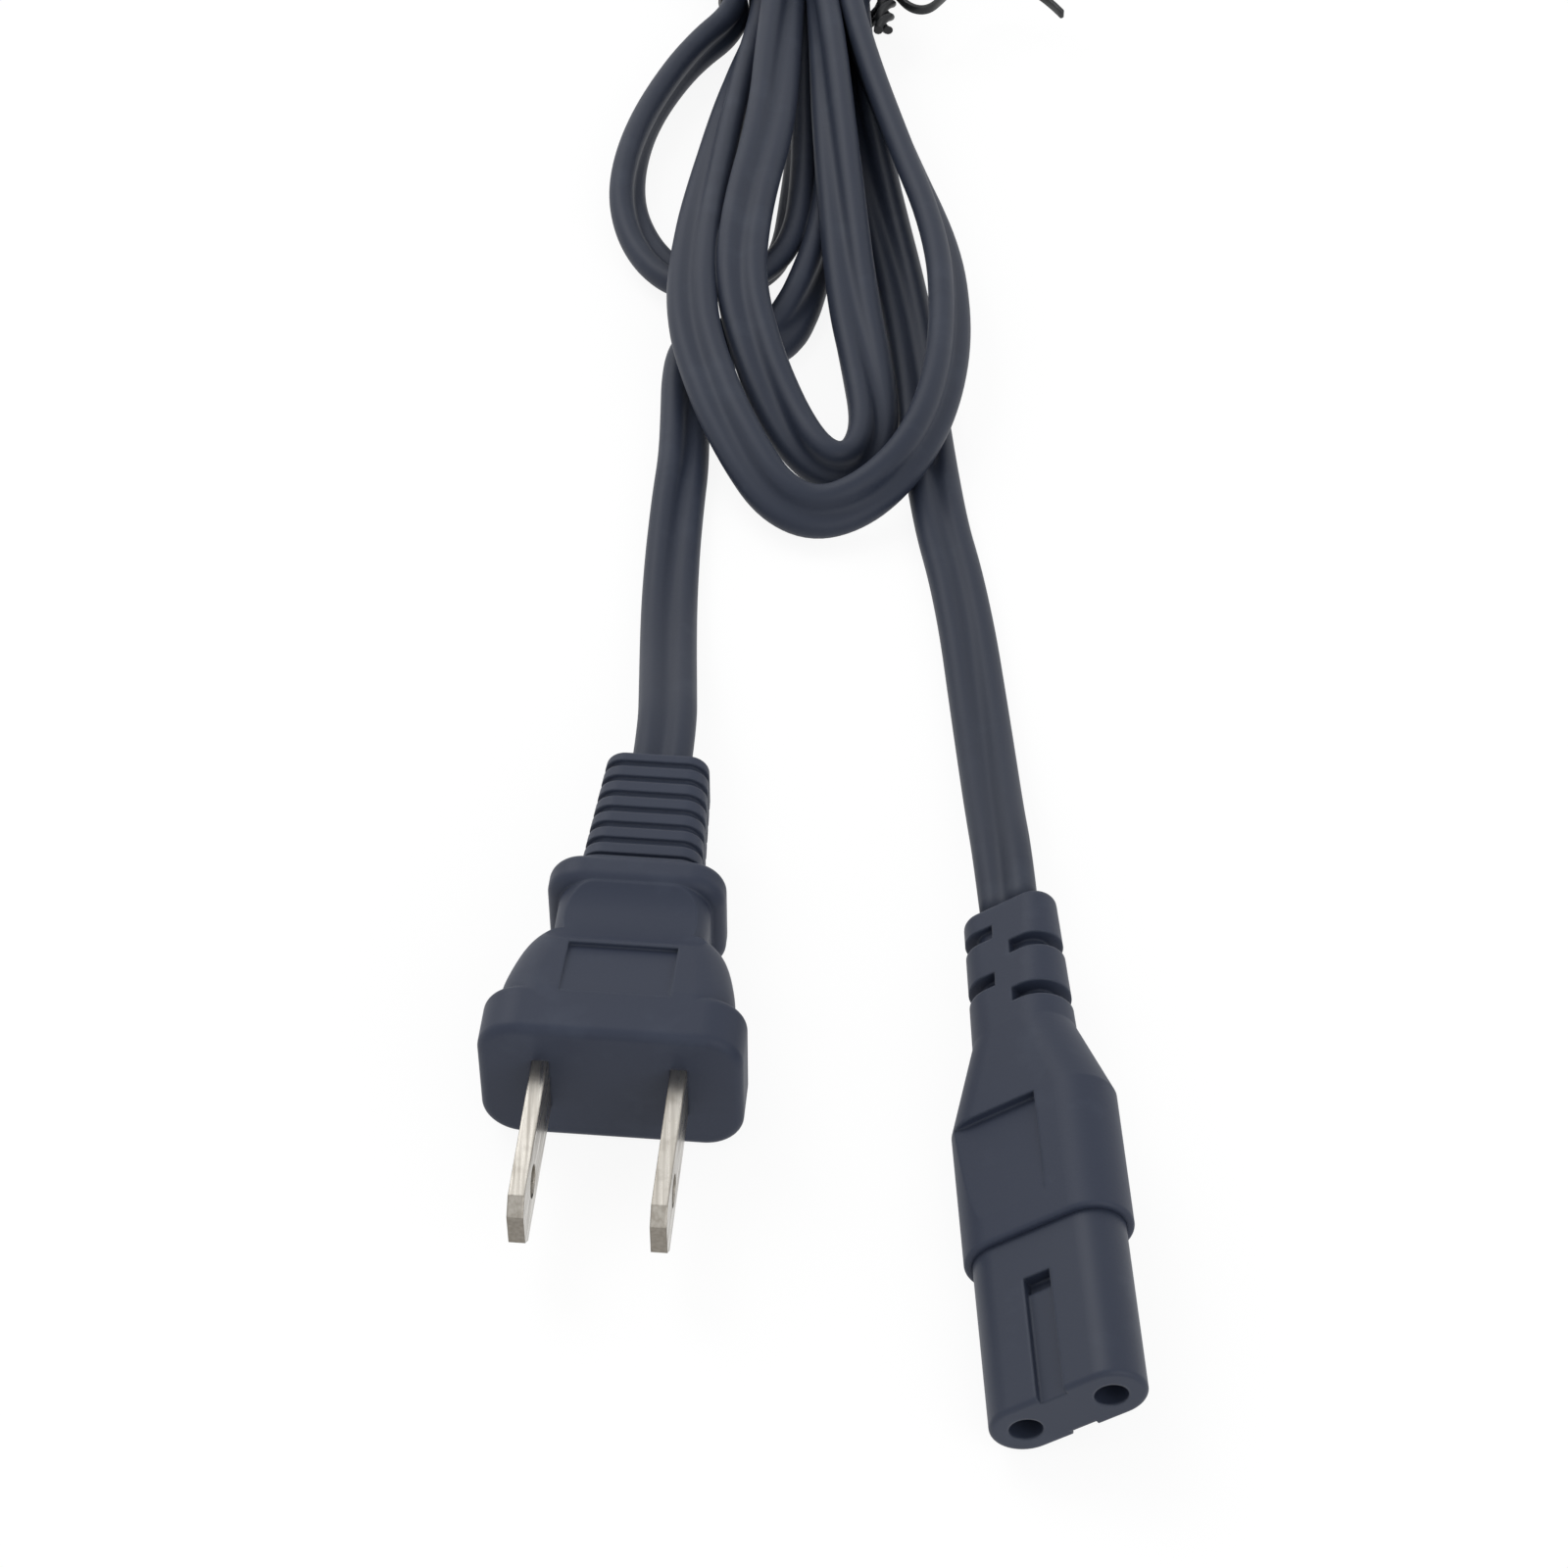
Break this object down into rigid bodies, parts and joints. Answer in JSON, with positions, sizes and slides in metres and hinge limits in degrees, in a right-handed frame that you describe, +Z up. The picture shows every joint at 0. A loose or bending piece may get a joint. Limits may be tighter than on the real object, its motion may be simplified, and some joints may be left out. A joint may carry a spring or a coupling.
{
  "type": "power cord",
  "caption": "Power cord with a moulded flat-blade plug, a flat cable tied in a hank, and a figure-of-eight appliance connector.",
  "frame": {"origin": "on the floor, under the middle of the box round plug and connector", "axes": "+Z up from the floor, +Y from the plug's blades and the connector's nose back along the cord to the hank, +X to the connector's side"},
  "size_m": [0.0653, 0.31, 0.015],
  "materials": {
    "moulded_pvc": "satin moulded PVC, slate black",
    "insert_pvc": "smooth hard PVC, slate black",
    "bridge_plastic": "plain moulded",
    "plated_brass": "nickel plated, satin",
    "contact_brass": "rolled sheet",
    "copper": "stranded copper",
    "cord_pvc": "satin flexible PVC, slate black",
    "tie_plastic": "plastic-coated wire"
  },
  "bodies": {
    "root": {"plug_body": "moulded_pvc", "connector_body": "moulded_pvc", "connector_insert": "insert_pvc", "blade_bridge": "bridge_plastic", "blade_left": "plated_brass", "blade_right": "plated_brass", "contact_left": "contact_brass", "contact_right": "contact_brass", "plug_conductor_left": "copper", "plug_conductor_right": "copper", "connector_conductor_left": "copper", "connector_conductor_right": "copper", "plug_lead": "cord_pvc", "cord_hank": "cord_pvc", "connector_lead": "cord_pvc", "twist_tie": "tie_plastic"}
  },
  "joints": []
}
